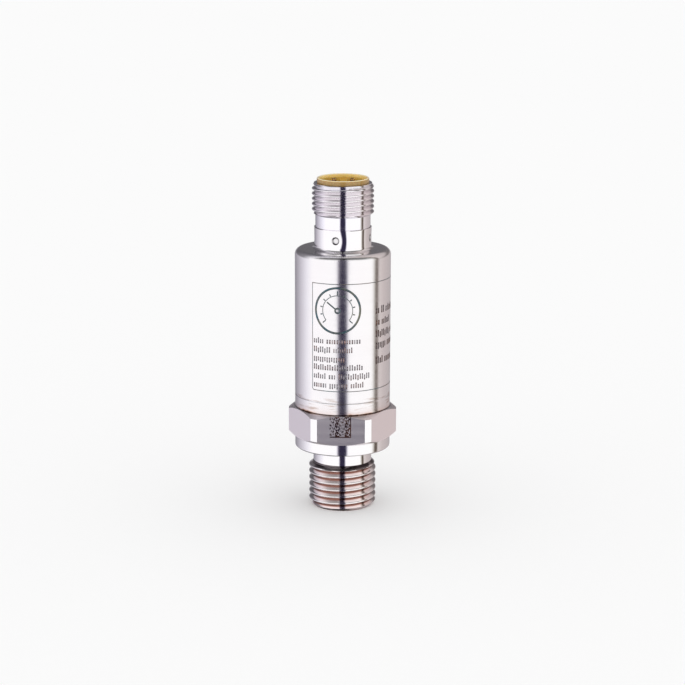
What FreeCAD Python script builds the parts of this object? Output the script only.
import FreeCAD, Part
import math
import os

import Sketcher

# Pressure transmitter with a G 1/4 process thread, a welded stainless housing and an M12 plug connector.
#
# Frame: +Z up along the axis of the transmitter, origin on that axis in the plane of the thread's end.
# The key of the plug connector looks along +Y, and one flat of the hexagon looks along -Y.
# All lengths are millimetres. Radii are used throughout, because nearly every piece is turned.

# --- driving dimensions -------------------------------------------------------------------------

SIZES = {
    "Clearances": {
        "fit_gap": 0.02,             # radial play of a seated or pressed piece
        "slot_gap": 0.05,            # play of a board in its groove
    },
    "Process connection": {
        "port_radius": 2.5,          # pressure port, drilled through to the measuring cell
        "port_countersink": 0.4,
        "thread_radius": 6.5785,     # G 1/4 over the crests
        "thread_lead": 0.9,          # chamfer at the thread's end
        "thread_length": 8.3,        # full crests, lead included
        "thread_back": 0.75,         # cone from the crests down to the undercut
        "undercut_radius": 5.7,
        "undercut_fillet": 0.5,
        "stem_length": 12.05,        # from the thread's end to the sealing face
        "collar_thickness": 2.2,
        "collar_edge": 0.3,
        "hexagon_margin": 0.2,       # flats outside the tube: 19 mm across flats
        "hexagon_height": 6.0,
        "hexagon_corner_margin": 1.25,   # turned corners outside the tube
        "hexagon_bevel_rise": 0.75,
        "hexagon_sides": 6,
        "spigot_height": 2.0,        # centres the housing over the connection
    },
    "Measuring cell": {
        "cell_flange_radius": 5.6,
        "cell_flange_height": 1.5,
        "cell_radius": 4.5,
        "cell_height": 6.0,
        "cell_chamber_radius": 3.0,
        "diaphragm_thickness": 0.4,
        "cell_board_gap": 0.1,       # to the posts beside it
        "cell_board_thickness": 0.8,
        "cell_pad_drop": 0.75,       # diaphragm above the board that is bonded to it
    },
    "Housing": {
        "tube_radius": 9.3,
        "tube_wall": 0.6,
        "tube_length": 31.25,        # from the hexagon to the flat shoulder
        "shoulder_thickness": 0.9,
        "shoulder_round": 1.2,
        "inner_round": 0.4,
        "neck_radius": 5.55,
        "neck_wall": 0.6,
        "neck_height": 4.2,
        "neck_foot_fillet": 0.9,
        "dimple_height": 2.4,        # crimp dimples above the shoulder
        "dimple_radius": 0.7,
        "dimple_depth": 0.25,
        "dimple_count": 4,
        "dimple_turn": -13.2,        # degrees from the front flat, anticlockwise from above
    },
    "Plug connector": {
        "connector_waist_step": 0.22,    # waist inside the neck
        "connector_waist_height": 2.4,
        "plug_thread_rise": 0.45,    # crests outside the neck: M12
        "plug_thread_length": 6.15,
        "plug_thread_lead": 0.6,
        "plug_thread_back": 0.45,
        "inner_step_depth": 1.09,    # widens the bore above the shank
        "shank_wall": 1.25,
        "sleeve_groove_depth": 0.75,
        "sleeve_groove_width": 1.0,
        "sleeve_groove_drop": 3.9,   # middle of the seal's groove below the neck's rim
        "crimp_groove_depth": 0.35,
        "crimp_groove_width": 1.7,
        "seal_chamber_height": 0.7,  # room of the carrier's seal above the sleeve's inner step
        "inner_step_rise": 0.2,      # inner step above the neck's rim
    },
    "Contact carrier": {
        "rim_lip": 0.28,             # rim over the sleeve's bore
        "rim_height": 0.95,
        "socket_wall": 0.4,
        "socket_depth": 8.0,
        "socket_lead": 0.45,
        "carrier_overhang": 0.4,     # carrier's foot below the sleeve's shank
        "key_width": 1.5,
        "key_depth": 0.6,
        "key_drop": 1.2,             # top of the key below the rim
        "pin_count": 4,
        "pin_turn": 45.0,            # degrees of the first pin from the +X axis
        "pin_circle_radius": 2.5,
        "pin_radius": 0.5,
        "pin_round": 0.25,
        "pin_drop": 0.4,             # tip of the pins below the rim
        "pin_tail_radius": 0.35,
        "pin_tail_length": 1.3,
        "pin_board_radius": 6.5,
        "pin_board_thickness": 0.8,
    },
    "Electronics": {
        "board_side_gap": 1.2,       # main board to the tube's wall, on each side
        "board_thickness": 1.0,
        "board_headroom": 1.4,       # main board to the round board above it
        "board_rise": 2.0,           # board above the bonded board of the cell
        "post_gap": 0.4,             # posts to the tube's wall
        "post_groove_depth": 0.5,
        "post_width": 3.2,
        "post_length": 14.0,         # length of the groove that holds the board
        "foot_gap": 0.2,             # foot ring to the tube's wall
        "link_pin_side": 0.4,
        "link_pin_pitch": 2.0,
        "link_pin_overlap": 2.3,
        "link_pin_count": 4,
        "flex_thickness": 0.15,
        "flex_width": 4.0,
        "flex_tail": 1.3,            # length bonded to each board
        "flex_stand": 5.2,           # middle of the flex from the axis
        "flex_bend": 0.5,
        "flex_climb": 4.5,           # height of the upper bend above the cell's board
        "spring_thickness": 0.2,
        "spring_width": 2.0,
        "spring_foot": 2.2,
        "spring_tab": 2.6,
        "spring_bend": 0.5,
        "spring_rise": 3.0,          # foot of the spring above the board's lower edge
    },
}

# Chips on the main board, seated on its front (towards -Y) or its back. Their inset is from the board's
# left or right edge, and their rise from its middle. A row of copies runs along X.
FRONT, BACK = -1, 1
CENTRE, LEFT, RIGHT, BOTH = (0,), (-1,), (1,), (-1, 1)
CHIP_COLUMNS = ("width", "height", "thickness", "inset", "rise", "pitch", "copies")
CHIPS = {
    "signal_processor": (FRONT, CENTRE, (5.0, 5.0, 0.9, 0.0, -0.8, 0.0, 1)),
    "memory_chip": (FRONT, LEFT, (3.0, 2.0, 0.8, 2.9, 3.9, 0.0, 1)),
    "supply_capacitors": (FRONT, RIGHT, (1.6, 3.2, 1.5, 4.6, 5.3, 2.7, 3)),
    "resistors": (FRONT, RIGHT, (0.5, 1.0, 0.4, 2.4, 0.1, 0.9, 4)),
    "output_driver": (BACK, LEFT, (5.0, 4.0, 1.5, 4.1, 0.9, 0.0, 1)),
    "voltage_regulator": (BACK, RIGHT, (4.5, 2.6, 1.5, 3.9, 1.3, 0.0, 1)),
    "surge_diodes": (BACK, BOTH, (2.6, 4.4, 2.0, 2.3, -4.3, 0.0, 1)),
}

TOLERANCE = 1e-6

doc = FreeCAD.newDocument("PressureTransmitter")


# --- lengths bound to the sheet -----------------------------------------------------------------

class Length:
    """A length worked out from the sheet: its value, and the expression that keeps it bound."""

    def __init__(self, value, text):
        self.value = value
        self.text = text

    def join(self, other, sign, work):
        other = as_length(other)
        return Length(work(self.value, other.value), "(%s %s %s)" % (self.text, sign, other.text))

    def __add__(self, other):
        return self.join(other, "+", lambda a, b: a + b)

    def __sub__(self, other):
        return self.join(other, "-", lambda a, b: a - b)

    def __mul__(self, other):
        return self.join(other, "*", lambda a, b: a * b)

    def __truediv__(self, other):
        return self.join(other, "/", lambda a, b: a / b)

    def __neg__(self):
        return Length(-self.value, "(0 - %s)" % self.text)


def as_length(number):
    return number if isinstance(number, Length) else Length(number, repr(number))


def make_sheet():
    """Writes every driving dimension into the spreadsheet, one aliased cell each."""
    sheet = doc.addObject("Spreadsheet::Sheet", "Sizes")
    sections = dict(SIZES)
    for chip, (_side, _edges, values) in CHIPS.items():
        sections[chip] = {chip + "_" + column: value for column, value in zip(CHIP_COLUMNS, values)}
    row = 1
    for section, sizes in sections.items():
        sheet.set("A%d" % row, section)
        row += 1
        for name, value in sizes.items():
            sheet.set("A%d" % row, name)
            sheet.set("B%d" % row, str(value))
            sheet.setAlias("B%d" % row, name)
            row += 1
    doc.recompute()
    return sheet


sheet = make_sheet()


def size(name):
    return Length(float(sheet.get(name)), "Sizes." + name)


def count(name):
    return int(size(name).value)


def chord(radius, half_width):
    """Distance from the axis to a flat that ends on a circle."""
    value = math.sqrt(radius.value ** 2 - half_width.value ** 2)
    return Length(value, "sqrt(%s ^ 2 - %s ^ 2)" % (radius.text, half_width.text))


def row_places(pitch, copies):
    """Places of evenly spaced copies about zero."""
    return [pitch * (number - (copies - 1) / 2) for number in range(copies)]


def bind(thing, prop, length):
    thing.setExpression(prop, as_length(length).text)


# --- sketches and features ----------------------------------------------------------------------

subparts = []


def new_body(label):
    body = doc.addObject("PartDesign::Body", label + "_body")
    body.Label = label
    subparts.append(body)
    return body


def origin_feature(body, role):
    return next(item for item in body.Origin.OriginFeatures if item.Role == role)


def new_sketch(body, plane="XZ_Plane", offset=None, turn=None):
    """A sketch on one of the body's origin planes, lifted off it and turned in it when asked."""
    sketch = body.newObject("Sketcher::SketchObject", body.Label + "_sketch")
    sketch.AttachmentSupport = [(origin_feature(body, plane), "")]
    sketch.MapMode = "FlatFace"
    if turn is not None:
        sketch.AttachmentOffset = FreeCAD.Placement(FreeCAD.Vector(), FreeCAD.Rotation(FreeCAD.Vector(0, 0, 1), 1))
        bind(sketch, "AttachmentOffset.Rotation.Angle", turn)
    if offset is not None:
        bind(sketch, "AttachmentOffset.Base.z", offset)
    return sketch


def hold(sketch, kind, geometry, end, length):
    """Ties one end of a line to its distance from the sketch's axis."""
    length = as_length(length)
    if abs(length.value) < TOLERANCE:
        axis = -2 if kind == "DistanceX" else -1
        sketch.addConstraint(Sketcher.Constraint("PointOnObject", geometry, end, axis))
        return
    index = sketch.addConstraint(Sketcher.Constraint(kind, -1, 1, geometry, end, length.value))
    bind(sketch, "Constraints[%d]" % index, length)


def draw_outline(sketch, points):
    """Draws a closed outline through points, each a pair of lengths, and ties every corner to the sheet."""
    places = [FreeCAD.Vector(as_length(x).value, as_length(y).value, 0) for x, y in points]
    lines = []
    for start, end in zip(places, places[1:] + places[:1]):
        lines.append(sketch.addGeometry(Part.LineSegment(start, end), False))
    for line, follower in zip(lines, lines[1:] + lines[:1]):
        sketch.addConstraint(Sketcher.Constraint("Coincident", line, 2, follower, 1))
    for line, (x, y) in zip(lines, points):
        hold(sketch, "DistanceX", line, 1, x)
        hold(sketch, "DistanceY", line, 1, y)


def draw_circle(sketch, x, y, radius):
    """Draws one circle whose centre and radius are tied to the sheet."""
    centre = FreeCAD.Vector(as_length(x).value, as_length(y).value, 0)
    circle = sketch.addGeometry(Part.Circle(centre, FreeCAD.Vector(0, 0, 1), radius.value), False)
    hold(sketch, "DistanceX", circle, 3, x)
    hold(sketch, "DistanceY", circle, 3, y)
    index = sketch.addConstraint(Sketcher.Constraint("Radius", circle, radius.value))
    bind(sketch, "Constraints[%d]" % index, radius)


def turn_profile(body, points, kind="PartDesign::Revolution"):
    """Turns a closed outline of (radius, height) points once round the body's axis."""
    sketch = new_sketch(body)
    draw_outline(sketch, points)
    feature = body.newObject(kind, body.Label + "_turning")
    feature.Profile = sketch
    feature.ReferenceAxis = (sketch, ["V_Axis"])
    feature.Angle = 360
    doc.recompute()
    return feature


def extrude(body, sketch, length, cut=False, both_ways=False, backwards=False):
    """Pads or pockets a sketch along its normal, and stops if a pocket takes nothing away."""
    before = body.Shape.Volume if cut else 0
    feature = body.newObject("PartDesign::Pocket" if cut else "PartDesign::Pad", body.Label + "_extrusion")
    feature.Profile = sketch
    feature.Type = "Length"
    bind(feature, "Length", length)
    feature.Midplane = both_ways
    feature.Reversed = cut != backwards
    doc.recompute()
    if cut and body.Shape.Volume > before - TOLERANCE:
        raise RuntimeError(body.Label + ": the pocket cuts nothing")
    return feature


def repeat_round(body, feature, copies):
    """Repeats a feature evenly about the body's axis."""
    pattern = body.newObject("PartDesign::PolarPattern", body.Label + "_pattern")
    pattern.Originals = [feature]
    pattern.Axis = (origin_feature(body, "Z_Axis"), [""])
    pattern.Angle = 360
    bind(pattern, "Occurrences", copies)
    body.Tip = pattern
    doc.recompute()
    return pattern


def rings_at(shape, radius, height):
    """Names of the circular edges about the axis with a given radius and height."""
    names = []
    for number, edge in enumerate(shape.Edges, 1):
        curve = edge.Curve
        if isinstance(curve, Part.Circle) and math.hypot(curve.Center.x, curve.Center.y) < 0.001:
            if abs(curve.Radius - radius.value) < 0.001 and abs(curve.Center.z - height.value) < 0.001:
                names.append("Edge%d" % number)
    return names


def lines_at(shape, axis, places):
    """Names of the straight edges along an axis that run through places, pairs in the other two axes."""
    others = [index for index in range(3) if index != axis]
    names = []
    for number, edge in enumerate(shape.Edges, 1):
        if not isinstance(edge.Curve, Part.Line) or abs(abs(edge.Curve.Direction[axis]) - 1) > 0.001:
            continue
        spot = edge.Vertexes[0].Point
        for first, second in places:
            if abs(spot[others[0]] - first.value) < 0.001 and abs(spot[others[1]] - second.value) < 0.001:
                names.append("Edge%d" % number)
    return names


def soften(body, edges, radius, kind="PartDesign::Fillet", prop="Radius"):
    """Rounds named edges of the body's last feature, which becomes its tip."""
    if not edges:
        raise RuntimeError(body.Label + ": no edge to round")
    base = body.Tip
    feature = body.newObject(kind, body.Label + "_edges")
    feature.Base = (base, edges)
    bind(feature, prop, radius)
    body.Tip = feature
    doc.recompute()
    return feature


def place(thing, x, y, z):
    for axis, length in zip("xyz", (x, y, z)):
        bind(thing, "Placement.Base." + axis, length)


# --- heights that several pieces share ----------------------------------------------------------

sealing_face = size("stem_length")
hexagon_bottom = sealing_face + size("collar_thickness")
hexagon_top = hexagon_bottom + size("hexagon_height")
spigot_top = hexagon_top + size("spigot_height")
cell_top = spigot_top + size("cell_height")
cell_board_top = cell_top - size("cell_pad_drop")
cell_board_bottom = cell_board_top - size("cell_board_thickness")
board_bottom = cell_board_top + size("board_rise")
shoulder = hexagon_top + size("tube_length")
ceiling = shoulder - size("shoulder_thickness")
neck_rim = shoulder + size("neck_height")
waist_top = neck_rim + size("connector_waist_height")
connector_top = waist_top + size("plug_thread_length")
rim_top = connector_top + size("rim_height")
socket_floor = rim_top - size("socket_depth")
inner_step = neck_rim + size("inner_step_rise")
carrier_step = inner_step + size("seal_chamber_height")
carrier_foot = ceiling - size("carrier_overhang")
pin_board_bottom = carrier_foot - size("pin_board_thickness")
board_top = pin_board_bottom - size("board_headroom")
board_length = board_top - board_bottom

flat_distance = size("tube_radius") + size("hexagon_margin")
tube_bore = size("tube_radius") - size("tube_wall")
neck_bore = size("neck_radius") - size("neck_wall")
shank_radius = neck_bore - size("fit_gap")
shank_bore = shank_radius - size("shank_wall")
connector_bore = shank_bore + size("inner_step_depth")
carrier_radius = connector_bore - size("fit_gap")
carrier_shank = shank_bore - size("fit_gap")
board_half = tube_bore - size("board_side_gap")
post_inner = board_half - size("post_groove_depth")
board_face = size("board_thickness") / 2


# --- process connection and measuring cell ------------------------------------------------------

def process_connection():
    """Turned stainless part: G 1/4 thread, undercut, sealing collar, hexagon and spigot."""
    body = new_body("process_connection")
    port, crest, collar = size("port_radius"), size("thread_radius"), size("tube_radius")
    turned, spigot = collar + size("hexagon_corner_margin"), tube_bore - size("fit_gap")
    turn_profile(body, [
        (port + size("port_countersink"), 0),
        (crest - size("thread_lead"), 0),
        (crest, size("thread_lead")),
        (crest, size("thread_length")),
        (size("undercut_radius"), size("thread_length") + size("thread_back")),
        (size("undercut_radius"), sealing_face),
        (collar - size("collar_edge"), sealing_face),
        (collar, sealing_face + size("collar_edge")),
        (collar, hexagon_bottom),
        (turned, hexagon_bottom + size("hexagon_bevel_rise")),
        (turned, hexagon_top - size("hexagon_bevel_rise")),
        (collar, hexagon_top),
        (spigot, hexagon_top),
        (spigot, spigot_top),
        (port, spigot_top),
        (port, size("port_countersink")),
    ])
    flat = new_sketch(body, "XY_Plane", offset=hexagon_bottom)
    reach = turned * 2
    draw_outline(flat, [(-reach, -reach), (reach, -reach), (reach, -flat_distance), (-reach, -flat_distance)])
    cut = extrude(body, flat, size("hexagon_height"), cut=True)
    repeat_round(body, cut, size("hexagon_sides"))
    soften(body, rings_at(body.Shape, size("undercut_radius"), sealing_face), size("undercut_fillet"))


def measuring_cell():
    """Steel cell welded on the port: a thick flange and a cup closed by the thin diaphragm."""
    body = new_body("measuring_cell")
    turn_profile(body, [
        (size("cell_chamber_radius"), spigot_top),
        (size("cell_flange_radius"), spigot_top),
        (size("cell_flange_radius"), spigot_top + size("cell_flange_height")),
        (size("cell_radius"), spigot_top + size("cell_flange_height")),
        (size("cell_radius"), cell_top),
        (0, cell_top),
        (0, cell_top - size("diaphragm_thickness")),
        (size("cell_chamber_radius"), cell_top - size("diaphragm_thickness")),
    ])


def cell_board():
    """Ring-shaped board bonded round the cell, level with its bond wires."""
    body = new_body("cell_board")
    inner, outer = size("cell_radius") + size("fit_gap"), post_inner - size("cell_board_gap")
    turn_profile(body, [
        (inner, cell_board_bottom),
        (outer, cell_board_bottom),
        (outer, cell_board_top),
        (inner, cell_board_top),
    ])


# --- housing and plug connector -----------------------------------------------------------------

def housing_sleeve():
    """Drawn and turned stainless tube with a rounded shoulder, a neck and four crimp dimples."""
    body = new_body("housing_sleeve")
    outer, neck = size("tube_radius"), size("neck_radius")
    turn_profile(body, [
        (tube_bore, hexagon_top),
        (outer, hexagon_top),
        (outer, shoulder),
        (neck, shoulder),
        (neck, neck_rim),
        (neck_bore, neck_rim),
        (neck_bore, ceiling),
        (tube_bore, ceiling),
    ])
    soften(body, rings_at(body.Shape, outer, shoulder), size("shoulder_round"))
    soften(body, rings_at(body.Shape, neck, shoulder), size("neck_foot_fillet"))
    soften(body, rings_at(body.Shape, tube_bore, ceiling), size("inner_round"))
    ball = dimple_ball(body)
    repeat_round(body, ball, size("dimple_count"))


def dimple_ball(body):
    """One crimp dimple, pressed in by a ball that stands out of the neck."""
    chord, depth = size("dimple_radius"), size("dimple_depth")
    ball = body.newObject("PartDesign::SubtractiveSphere", "dimple_ball")
    radius = (chord * chord + depth * depth) / (depth * 2)
    bind(ball, "Radius", radius)
    reach = size("neck_radius") - depth + radius
    angle = size("dimple_turn")
    ball.AttachmentSupport = [(origin_feature(body, "XY_Plane"), "")]
    ball.MapMode = "FlatFace"
    ball.setExpression("AttachmentOffset.Base.x", "%s * sin(%s)" % (reach.text, angle.text))
    ball.setExpression("AttachmentOffset.Base.y", "-%s * cos(%s)" % (reach.text, angle.text))
    bind(ball, "AttachmentOffset.Base.z", shoulder + size("dimple_height"))
    doc.recompute()
    return ball


def connector_sleeve():
    """Turned M12 sleeve: its shank sits in the neck, with grooves for the seal and for the crimp."""
    body = new_body("connector_sleeve")
    crest = size("neck_radius") + size("plug_thread_rise")
    waist = size("neck_radius") - size("connector_waist_step")
    seal_middle = neck_rim - size("sleeve_groove_drop")
    crimp_middle = shoulder + size("dimple_height")
    seal_half, crimp_half = size("sleeve_groove_width") / 2, size("crimp_groove_width") / 2
    seal_floor = shank_radius - size("sleeve_groove_depth")
    crimp_floor = shank_radius - size("crimp_groove_depth")
    turn_profile(body, [
        (shank_bore, ceiling),
        (shank_radius, ceiling),
        (shank_radius, seal_middle - seal_half),
        (seal_floor, seal_middle - seal_half),
        (seal_floor, seal_middle + seal_half),
        (shank_radius, seal_middle + seal_half),
        (shank_radius, crimp_middle - crimp_half),
        (crimp_floor, crimp_middle - crimp_half),
        (crimp_floor, crimp_middle + crimp_half),
        (shank_radius, crimp_middle + crimp_half),
        (shank_radius, neck_rim),
        (waist, neck_rim),
        (waist, waist_top),
        (crest, waist_top + size("plug_thread_back")),
        (crest, connector_top - size("plug_thread_lead")),
        (crest - size("plug_thread_lead"), connector_top),
        (connector_bore, connector_top),
        (connector_bore, inner_step),
        (shank_bore, inner_step),
    ])


def seal_ring(label, inner, outer, middle):
    """O-ring between two radii, seated with a hair of play so that it overlaps neither."""
    ring = doc.addObject("Part::Torus", label + "_ring")
    ring.Label = label
    bind(ring, "Radius1", (inner + outer) / 2)
    bind(ring, "Radius2", (outer - inner) / 2 - size("fit_gap"))
    place(ring, 0, 0, middle)
    subparts.append(ring)


def seals():
    seal_floor = shank_radius - size("sleeve_groove_depth")
    seal_ring("sleeve_seal", seal_floor, neck_bore, neck_rim - size("sleeve_groove_drop"))
    middle = inner_step + size("seal_chamber_height") / 2
    width = size("seal_chamber_height")
    seal_ring("carrier_seal", connector_bore - width, connector_bore, middle)


def contact_carrier():
    """Moulded insert: a rim on the sleeve's face, the socket with its key, and holes for four pins."""
    body = new_body("contact_carrier")
    socket, lead = carrier_radius - size("socket_wall"), size("socket_lead")
    rim = connector_bore + size("rim_lip")
    turn_profile(body, [
        (0, carrier_foot),
        (carrier_shank, carrier_foot),
        (carrier_shank, carrier_step),
        (carrier_radius, carrier_step),
        (carrier_radius, connector_top),
        (rim, connector_top),
        (rim, rim_top),
        (socket + lead, rim_top),
        (socket, rim_top - lead),
        (socket, socket_floor),
        (0, socket_floor),
    ])
    key = new_sketch(body, "XY_Plane", offset=socket_floor)
    half = size("key_width") / 2
    buried = (socket + carrier_radius) / 2
    draw_outline(key, [(-half, socket - size("key_depth")), (half, socket - size("key_depth")),
                       (half, buried), (-half, buried)])
    extrude(body, key, size("socket_depth") - size("key_drop"))
    hole = new_sketch(body, "XY_Plane", offset=carrier_foot, turn=size("pin_turn"))
    draw_circle(hole, size("pin_circle_radius"), 0, size("pin_radius") + size("fit_gap"))
    bore = extrude(body, hole, socket_floor - carrier_foot, cut=True)
    repeat_round(body, bore, size("pin_count"))


def contact_pin(number):
    """Turned pin contact with a rounded tip, and a thinner tail for its solder joint."""
    body = new_body("contact_pin_%d" % number)
    radius, tail = size("pin_radius"), size("pin_tail_radius")
    tip = rim_top - size("pin_drop")
    turn_profile(body, [
        (0, carrier_foot - size("pin_tail_length")),
        (tail, carrier_foot - size("pin_tail_length")),
        (tail, carrier_foot),
        (radius, carrier_foot),
        (radius, tip),
        (0, tip),
    ])
    soften(body, rings_at(body.Shape, radius, tip), size("pin_round"))
    angle = "(%s + %d * 360 / %s)" % (size("pin_turn").text, number - 1, size("pin_count").text)
    circle = size("pin_circle_radius").text
    body.setExpression("Placement.Base.x", "%s * cos(%s)" % (circle, angle))
    body.setExpression("Placement.Base.y", "%s * sin(%s)" % (circle, angle))


def pin_board():
    """Round board against the carrier's foot, with holes for the pins' tails and the link pins."""
    body = new_body("pin_board")
    outline = new_sketch(body, "XY_Plane", offset=pin_board_bottom)
    draw_circle(outline, 0, 0, size("pin_board_radius"))
    extrude(body, outline, size("pin_board_thickness"))
    for x in link_pin_places():
        slot = new_sketch(body, "XY_Plane", offset=pin_board_bottom)
        half = size("link_pin_side") / 2 + size("fit_gap")
        y = board_face + size("link_pin_side") / 2
        draw_outline(slot, [(x - half, y - half), (x + half, y - half), (x + half, y + half), (x - half, y + half)])
        extrude(body, slot, size("pin_board_thickness"), cut=True)
    hole = new_sketch(body, "XY_Plane", offset=pin_board_bottom, turn=size("pin_turn"))
    draw_circle(hole, size("pin_circle_radius"), 0, size("pin_tail_radius") + size("fit_gap"))
    bore = extrude(body, hole, size("pin_board_thickness"), cut=True)
    repeat_round(body, bore, size("pin_count"))


# --- electronics --------------------------------------------------------------------------------

def board_carrier():
    """Moulded frame: a foot ring that carries the cell's board, and two grooved posts for the main board."""
    body = new_body("board_carrier")
    clear, foot = size("cell_flange_radius") + size("fit_gap"), tube_bore - size("foot_gap")
    turn_profile(body, [
        (clear, spigot_top),
        (foot, spigot_top),
        (foot, cell_board_bottom),
        (clear, cell_board_bottom),
    ])
    outer, half = tube_bore - size("post_gap"), size("post_width") / 2
    post = new_sketch(body, "XY_Plane", offset=spigot_top)
    draw_outline(post, [(post_inner, -half), (outer, -half), (outer, half), (post_inner, half)])
    column = extrude(body, post, board_bottom + size("post_length") - spigot_top)
    repeat_round(body, column, 2)
    groove = new_sketch(body, "XY_Plane", offset=board_bottom)
    reach, slot = board_half + size("slot_gap"), board_face + size("slot_gap")
    draw_outline(groove, [(-reach, -slot), (reach, -slot), (reach, slot), (-reach, slot)])
    extrude(body, groove, size("post_length"), cut=True)


def block(label, width, depth, height, x, y, z):
    """A plain box, placed by its lowest corner."""
    box = doc.addObject("Part::Box", label)
    for prop, length in (("Length", width), ("Width", depth), ("Height", height)):
        bind(box, prop, length)
    place(box, x, y, z)
    return box


def circuit_board():
    board = block("board", board_half * 2, size("board_thickness"), board_length,
                  -board_half, -board_face, board_bottom)
    board.Label = "circuit_board"
    subparts.append(board)


def group(label, members):
    """Like pieces that share one node, as separate solids."""
    if len(members) == 1:
        members[0].Label = label
        subparts.append(members[0])
        return
    compound = doc.addObject("Part::Compound", label + "_group")
    compound.Links = members
    compound.Label = label
    subparts.append(compound)


def edge_places(edges, inset):
    """The middle of a row of chips at the board's centre, or set in from its left or right edge, or both."""
    return [(board_half - inset) * edge if edge else as_length(0) for edge in edges]


def chips():
    """Every packaged part on the main board, seated on its face."""
    for label, (side, edges, _values) in CHIPS.items():
        width, height, thickness, inset, rise, pitch = (size(label + "_" + name) for name in CHIP_COLUMNS[:-1])
        y = board_face if side == BACK else -board_face - thickness
        z = board_bottom + board_length / 2 + rise - height / 2
        row = row_places(pitch, count(label + "_copies"))
        group(label, [block(label + "_part", width, thickness, height, middle + shift - width / 2, y, z)
                      for middle in edge_places(edges, inset) for shift in row])


def link_pin_places():
    return row_places(size("link_pin_pitch"), count("link_pin_count"))


def link_pins():
    """Straight pins that join the main board's back to the round board above it."""
    side, start = size("link_pin_side"), board_top - size("link_pin_overlap")
    height = pin_board_bottom + size("pin_board_thickness") - start
    group("link_pins", [block("link_pin", side, side, height, x - side / 2, board_face, start)
                        for x in link_pin_places()])


def bent_strip(label, points, bends, bend_radius, thickness, width):
    """A thin strip drawn from the side as an outline, widened both ways along X, with rounded bends."""
    body = new_body(label)
    sketch = new_sketch(body, "YZ_Plane")
    draw_outline(sketch, points)
    extrude(body, sketch, width, both_ways=True)
    inner = [bend[0] for bend in bends]
    outer = [bend[1] for bend in bends]
    soften(body, lines_at(body.Shape, 0, outer), bend_radius + thickness)
    soften(body, lines_at(body.Shape, 0, inner), bend_radius)


def flex_lead():
    """Flexible lead from the cell's board up to the front of the main board."""
    thin, tail = size("flex_thickness"), size("flex_tail")
    near = -size("flex_stand") + thin
    far = -size("flex_stand")
    low = cell_board_top
    high = cell_board_top + size("flex_climb")
    face = -board_face
    bent_strip(
        "flex_lead",
        [(far - tail, low), (near, low), (near, high - thin), (face, high - thin), (face, high + tail),
         (face - thin, high + tail), (face - thin, high), (far, high), (far, low + thin), (far - tail, low + thin)],
        [((far, low + thin), (near, low)), ((near, high - thin), (far, high)),
         ((face - thin, high), (face, high - thin))],
        size("flex_bend"), thin, size("flex_width"))


def ground_spring():
    """Spring strip from the ground pad on the board's back to the inside of the housing."""
    thin = size("spring_thickness")
    wall = chord(tube_bore - size("fit_gap"), size("spring_width") / 2)
    low = board_bottom + size("spring_rise")
    arm = low + size("spring_foot")
    bent_strip(
        "ground_spring",
        [(board_face, low), (board_face + thin, low), (board_face + thin, arm - thin), (wall, arm - thin),
         (wall, arm + size("spring_tab")), (wall - thin, arm + size("spring_tab")), (wall - thin, arm),
         (board_face, arm)],
        [((board_face + thin, arm - thin), (board_face, arm)), ((wall - thin, arm), (wall, arm - thin))],
        size("spring_bend"), thin, size("spring_width"))


# --- the whole transmitter ----------------------------------------------------------------------

def build():
    process_connection()
    measuring_cell()
    cell_board()
    housing_sleeve()
    connector_sleeve()
    seals()
    contact_carrier()
    for number in range(1, count("pin_count") + 1):
        contact_pin(number)
    pin_board()
    board_carrier()
    circuit_board()
    chips()
    link_pins()
    flex_lead()
    ground_spring()
    doc.recompute()


def check():
    """Stops before anything is written if an object failed or a sub-part is not a valid solid."""
    for thing in doc.Objects:
        if "Invalid" in thing.State or "Error" in thing.State:
            raise RuntimeError("%s: %s" % (thing.Label, thing.State))
    for part in subparts:
        if part.Shape.isNull() or not part.Shape.isValid() or not part.Shape.Solids:
            raise RuntimeError(part.Label + " has no valid solid")


def export():
    os.makedirs("parts", exist_ok=True)
    for part in subparts:
        part.Shape.exportStep("parts/%s.step" % part.Label)


build()
check()
export()
